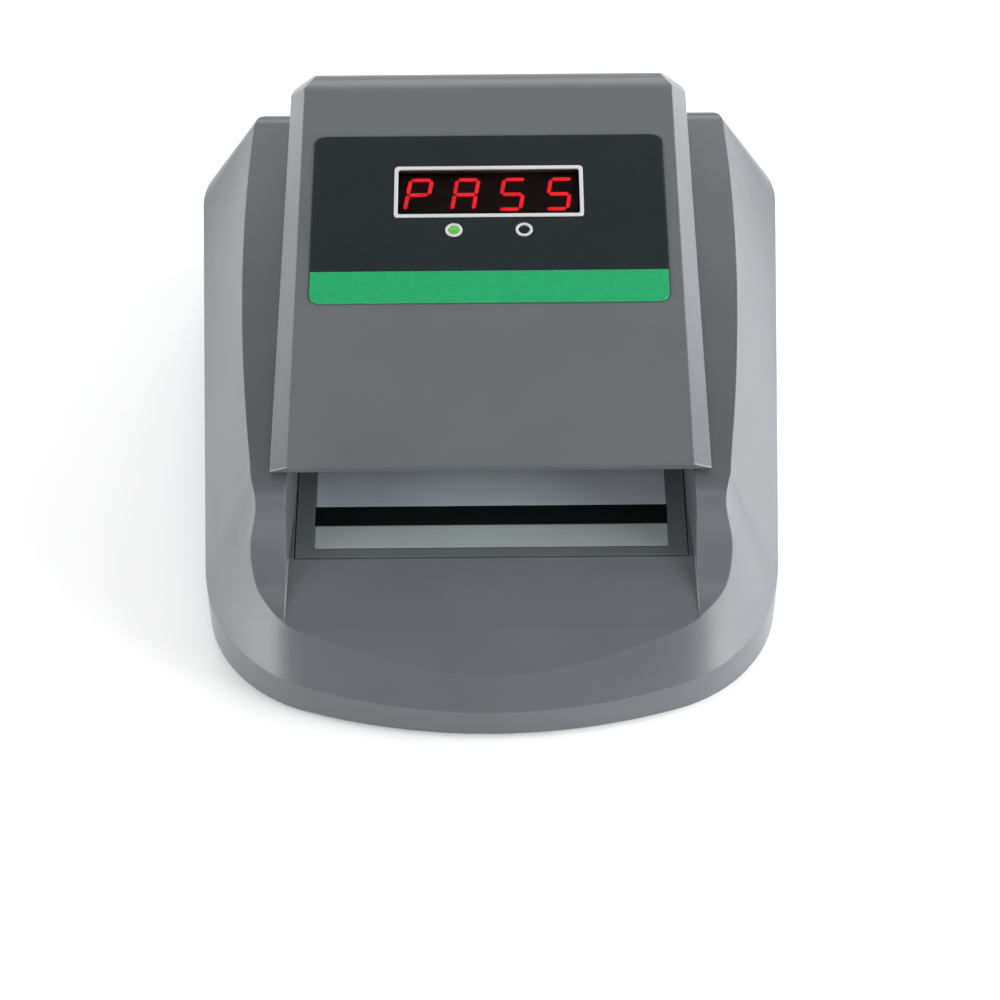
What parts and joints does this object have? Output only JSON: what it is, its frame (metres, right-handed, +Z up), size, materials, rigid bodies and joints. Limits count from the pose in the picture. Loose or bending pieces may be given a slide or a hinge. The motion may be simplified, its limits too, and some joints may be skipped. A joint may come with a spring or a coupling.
{
  "type": "counterfeit bill detector",
  "caption": "Desktop banknote checker with a rounded wedge base, a rear-hinged hood with an LED status display, and a roller-driven note path from front to back.",
  "frame": {"origin": "on the table under the middle of the machine's outline", "axes": "+Z up, -Y is the front where the note goes in, +X is the operator's right"},
  "size_m": [0.1294, 0.146, 0.0617],
  "materials": {
    "casing": "satin grey moulded ABS",
    "underside": "fine matt black",
    "foot_rubber": "matt",
    "tray_plastic": "satin dark grey",
    "light_cover": "satin",
    "sensor_glass": "polished",
    "uv_cover": "satin",
    "sensor_black": "matt",
    "head_metal": "ground",
    "bush_nylon": "nylon",
    "shaft_steel": "ground",
    "roller_rubber": "matt",
    "idler_rubber": "matt",
    "pulley_plastic": "moulded",
    "belt_rubber": "matt",
    "motor_steel": "drawn",
    "board_green": "solder mask",
    "chip_black": "moulded",
    "capacitor_can": "sleeved can",
    "socket_white": "moulded",
    "jack_black": "moulded",
    "switch_black": "moulded",
    "screw_steel": "zinc plated",
    "panel_black": "printed film",
    "panel_green": "printed film",
    "trim_light": "satin",
    "smoked_window": "polished",
    "module_black": "moulded",
    "lit_red": "lit",
    "lit_green": "lit",
    "lamp_dark": "unlit",
    "guide_plastic": "matt",
    "spring_steel": "rolled"
  },
  "bodies": {
    "base": {"base_cover": "casing", "base_screws": "screw_steel", "board_capacitors": "capacitor_can", "board_chips": "chip_black", "board_screws": "screw_steel", "board_sockets": "socket_white", "bottom_plate": "underside", "bush_front_left": "bush_nylon", "bush_front_right": "bush_nylon", "bush_rear_left": "bush_nylon", "bush_rear_right": "bush_nylon", "dc_jack": "jack_black", "drive_belt": "belt_rubber", "foot_front_left": "foot_rubber", "foot_front_right": "foot_rubber", "foot_rear_left": "foot_rubber", "foot_rear_right": "foot_rubber", "image_sensor_window": "sensor_glass", "light_sensor_cover": "light_cover", "magnetic_head": "head_metal", "main_board": "board_green", "motor": "motor_steel", "note_tray": "tray_plastic", "sensor_block": "sensor_black", "switch_frame": "switch_black", "tray_screws": "screw_steel", "uv_sensor_cover": "uv_cover"},
    "hood": {"hood_cover": "casing", "guide_screws": "screw_steel", "panel_stripe": "panel_green", "panel_face": "panel_black", "display_bezel": "trim_light", "display_window": "smoked_window", "display_module": "module_black", "display_digits": "lit_red", "display_board": "board_green", "pass_lamp": "lit_green", "alert_lamp": "lamp_dark", "lamp_rings": "trim_light", "upper_guide": "guide_plastic", "idler_springs": "spring_steel", "hinge_pin_left": "shaft_steel", "hinge_pin_right": "shaft_steel"},
    "power_rocker": {"power_rocker": "switch_black"},
    "motor_rotor": {"motor_shaft": "shaft_steel", "motor_pulley": "pulley_plastic"},
    "front_drive": {"front_drive_shaft": "shaft_steel", "front_drive_roller_left": "roller_rubber", "front_drive_roller_right": "roller_rubber", "front_pulley": "pulley_plastic"},
    "front_idler": {"front_idler_axle": "shaft_steel", "front_idler_roller_left": "idler_rubber", "front_idler_roller_right": "idler_rubber"},
    "rear_drive": {"rear_drive_shaft": "shaft_steel", "rear_drive_roller_left": "roller_rubber", "rear_drive_roller_right": "roller_rubber", "rear_pulley": "pulley_plastic"},
    "rear_idler": {"rear_idler_axle": "shaft_steel", "rear_idler_roller_left": "idler_rubber", "rear_idler_roller_right": "idler_rubber"}
  },
  "joints": [
    {"name": "lid_hinge", "type": "hinge", "parent": "base", "child": "hood", "pos_m": [0, 0.0645, 0.049], "axis": [-1, 0, 0], "range_deg": [0, 60]},
    {"name": "front_drive_spin", "type": "hinge", "parent": "base", "child": "front_drive", "pos_m": [0, -0.01342, 0.02289], "axis": [1, 0, 0], "continuous": true},
    {"name": "rear_drive_spin", "type": "hinge", "parent": "base", "child": "rear_drive", "pos_m": [0, 0.03857, 0.02744], "axis": [1, 0, 0], "continuous": true},
    {"name": "motor_spin", "type": "hinge", "parent": "base", "child": "motor_rotor", "pos_m": [0, 0.012, 0.0145], "axis": [1, 0, 0], "continuous": true},
    {"name": "front_idler_spin", "type": "hinge", "parent": "hood", "child": "front_idler", "pos_m": [0, -0.01451, 0.03524], "axis": [1, 0, 0], "continuous": true},
    {"name": "rear_idler_spin", "type": "hinge", "parent": "hood", "child": "rear_idler", "pos_m": [0, 0.03749, 0.03979], "axis": [1, 0, 0], "continuous": true},
    {"name": "power_switch", "type": "hinge", "parent": "base", "child": "power_rocker", "pos_m": [0.022, 0.0692, 0.015], "axis": [-1, 0, 0], "range_deg": [0, 14]}
  ],
  "couplings": [
    {"joint": "rear_drive_spin", "follows": "front_drive_spin", "ratio": 1},
    {"joint": "motor_spin", "follows": "front_drive_spin", "ratio": 2},
    {"joint": "front_idler_spin", "follows": "front_drive_spin", "ratio": -1.4},
    {"joint": "rear_idler_spin", "follows": "front_drive_spin", "ratio": -1.4}
  ]
}
